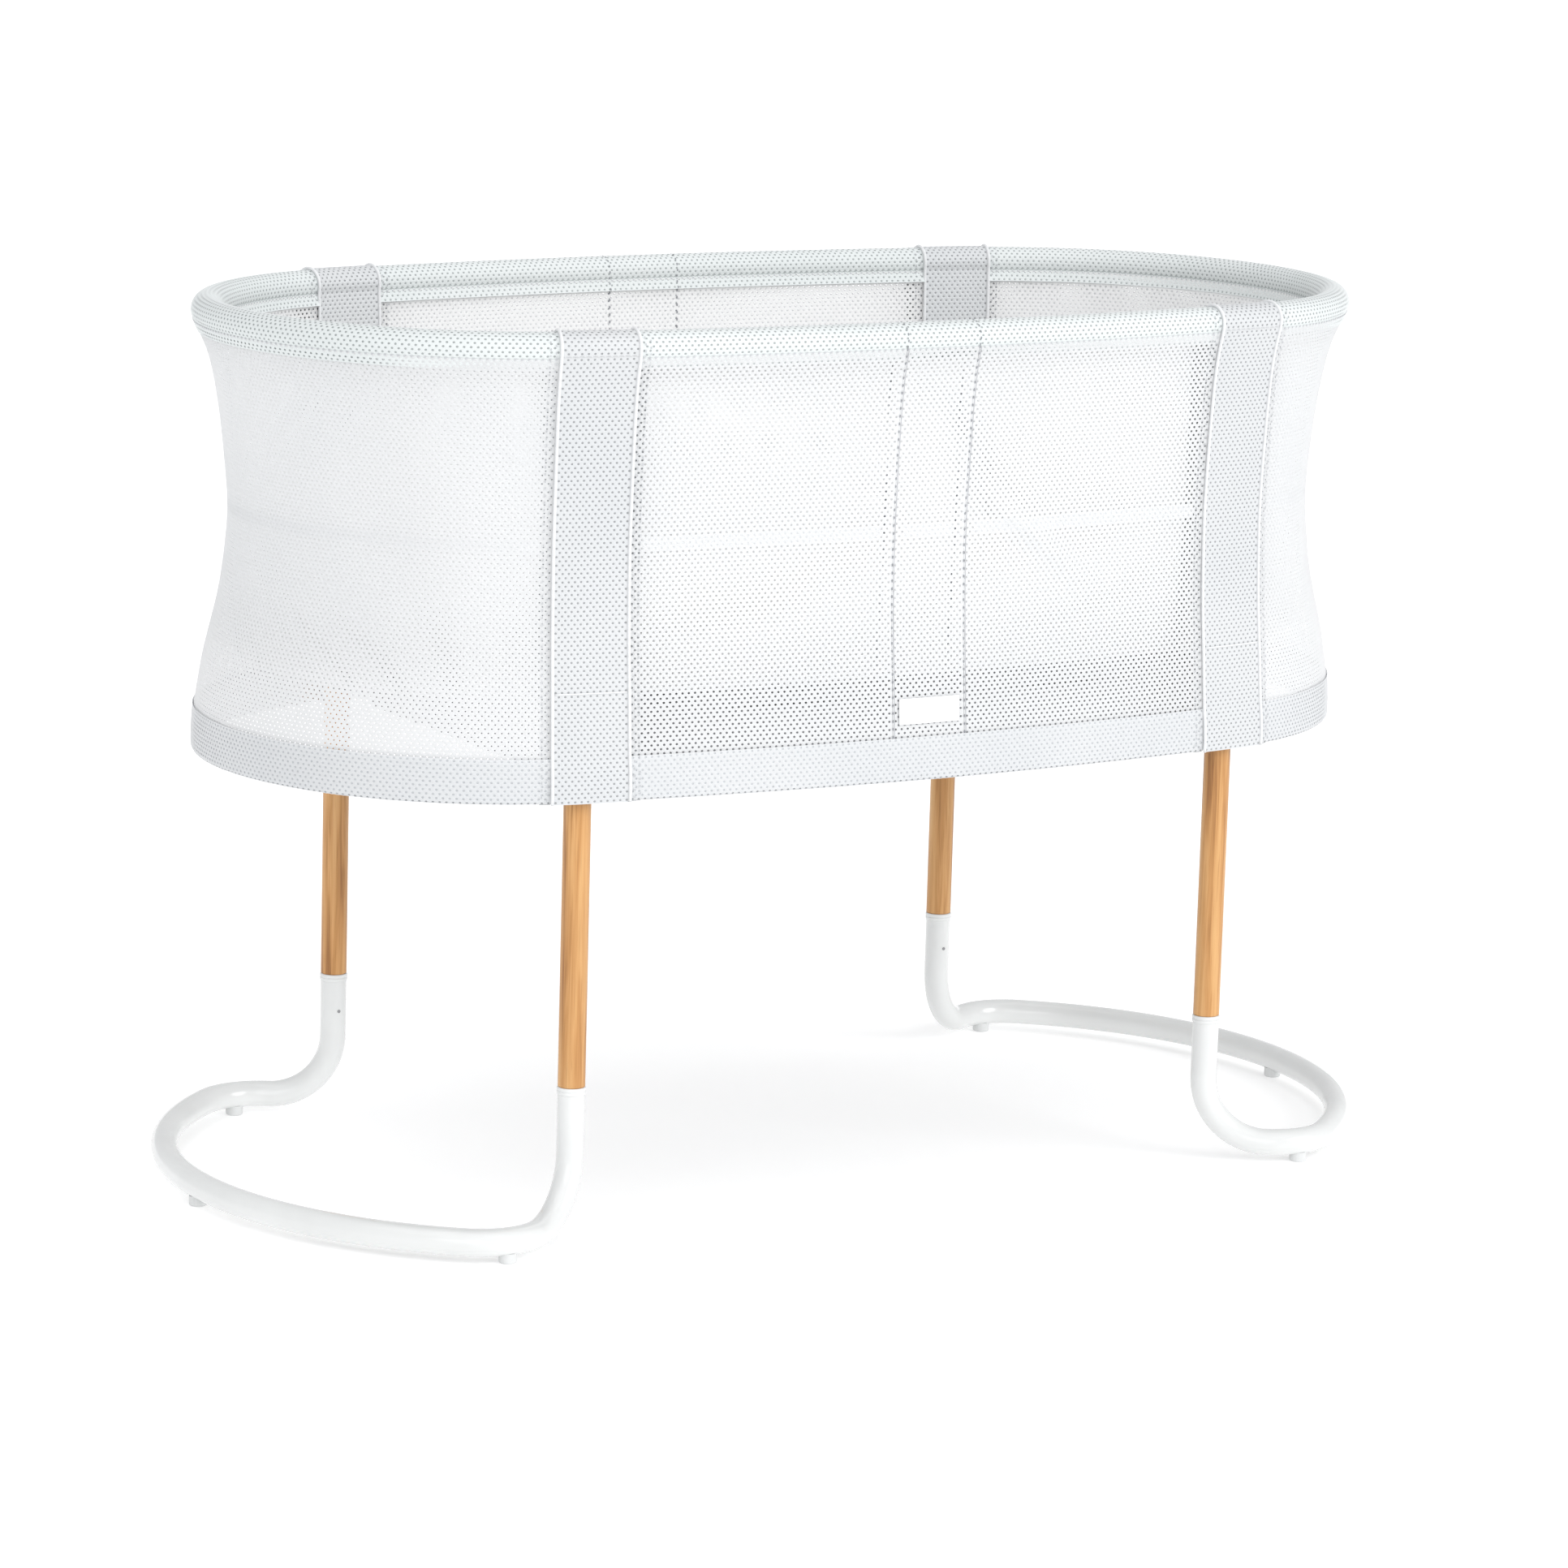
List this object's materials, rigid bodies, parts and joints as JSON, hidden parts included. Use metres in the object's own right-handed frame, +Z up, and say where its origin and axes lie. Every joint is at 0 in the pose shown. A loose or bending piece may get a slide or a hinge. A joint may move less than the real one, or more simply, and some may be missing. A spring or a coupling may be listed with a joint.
{
  "type": "baby cradle",
  "caption": "Oval baby cradle: a double-walled white mesh basket with a padded rim that sways on round wooden legs and two curved white tube floor hoops.",
  "frame": {"origin": "on the floor, under the middle of the basket", "axes": "+X along the basket's length to the viewer's right, -Y the front side with the label, +Z up"},
  "size_m": [0.8804, 0.4326, 0.595],
  "materials": {
    "tube_paint": "glossy white powder coat",
    "foot_pad": "matte",
    "collar": "glossy",
    "pin_steel": "bright zinc plated",
    "screw_steel": "dark",
    "leg_wood": "clear matt lacquer",
    "frame_paint": "satin grey",
    "board_wood": "grey laminated board",
    "spring_strip": "satin",
    "mesh_cloth": "white three-dimensional mesh",
    "band_cloth": "white close weave",
    "piping_cord": "white corded edge",
    "label_cloth": "blank woven white",
    "mattress_foam": "foam",
    "mattress_cloth": "white cotton"
  },
  "bodies": {
    "stand": {"hoop_left": "tube_paint", "hoop_right": "tube_paint", "hoop_feet": "foot_pad", "leg_collars": "collar", "leg_spigots": "pin_steel", "leg_screws": "screw_steel", "leg_front_left": "leg_wood", "leg_front_right": "leg_wood", "leg_rear_left": "leg_wood", "leg_rear_right": "leg_wood", "leg_brackets": "frame_paint", "bracket_screws": "screw_steel", "rail_front": "frame_paint", "rail_rear": "frame_paint", "end_rail_left": "frame_paint", "end_rail_right": "frame_paint", "hanger_rod_left": "pin_steel", "hanger_rod_right": "pin_steel"},
    "link_fl": {"link_front_left": "pin_steel"},
    "link_fr": {"link_front_right": "pin_steel"},
    "link_rl": {"link_rear_left": "pin_steel"},
    "link_rr": {"link_rear_right": "pin_steel"},
    "basket": {"basket_rod_left": "pin_steel", "basket_rod_right": "pin_steel", "bearer_plates": "frame_paint", "base_board": "board_wood", "hem_strip": "spring_strip", "rim_front": "tube_paint", "rim_rear": "tube_paint", "rim_left": "tube_paint", "rim_right": "tube_paint", "rim_plugs": "pin_steel", "stay_front_left": "spring_strip", "stay_front_right": "spring_strip", "stay_rear_left": "spring_strip", "stay_rear_right": "spring_strip", "rim_sleeve": "mesh_cloth", "hem_sleeve": "mesh_cloth", "outer_end_left": "mesh_cloth", "outer_end_right": "mesh_cloth", "outer_front_left": "mesh_cloth", "outer_front_centre": "mesh_cloth", "outer_front_right": "mesh_cloth", "outer_rear_left": "mesh_cloth", "outer_rear_centre": "mesh_cloth", "outer_rear_right": "mesh_cloth", "band_front_left": "band_cloth", "band_front_right": "band_cloth", "band_rear_left": "band_cloth", "band_rear_right": "band_cloth", "lining_front": "mesh_cloth", "lining_rear": "mesh_cloth", "lining_end_left": "mesh_cloth", "lining_end_right": "mesh_cloth", "waist_tape": "band_cloth", "band_piping": "piping_cord", "fabric_label": "label_cloth"},
    "mattress": {"mattress_core": "mattress_foam", "mattress_cover": "mattress_cloth"}
  },
  "joints": [
    {"name": "sway_link_front_left", "type": "hinge", "parent": "stand", "child": "link_fl", "pos_m": [-0.205, -0.12, 0.344], "axis": [0, 1, 0], "range_deg": [-15, 15]},
    {"name": "sway_link_front_right", "type": "hinge", "parent": "stand", "child": "link_fr", "pos_m": [0.205, -0.12, 0.344], "axis": [0, 1, 0], "range_deg": [-15, 15]},
    {"name": "sway_link_rear_left", "type": "hinge", "parent": "stand", "child": "link_rl", "pos_m": [-0.205, 0.12, 0.344], "axis": [0, 1, 0], "range_deg": [-15, 15]},
    {"name": "sway_link_rear_right", "type": "hinge", "parent": "stand", "child": "link_rr", "pos_m": [0.205, 0.12, 0.344], "axis": [0, 1, 0], "range_deg": [-15, 15]},
    {"name": "basket_pivot", "type": "hinge", "parent": "link_fl", "child": "basket", "pos_m": [-0.205, -0.12, 0.299], "axis": [0, 1, 0], "range_deg": [-15, 15]},
    {"name": "mattress_lift", "type": "slide", "parent": "basket", "child": "mattress", "axis": [0, 0, 1], "range_m": [0, 0.4]}
  ],
  "couplings": [
    {"joint": "sway_link_front_right", "follows": "sway_link_front_left", "ratio": 1},
    {"joint": "sway_link_rear_left", "follows": "sway_link_front_left", "ratio": 1},
    {"joint": "sway_link_rear_right", "follows": "sway_link_front_left", "ratio": 1},
    {"joint": "basket_pivot", "follows": "sway_link_front_left", "ratio": -1}
  ]
}
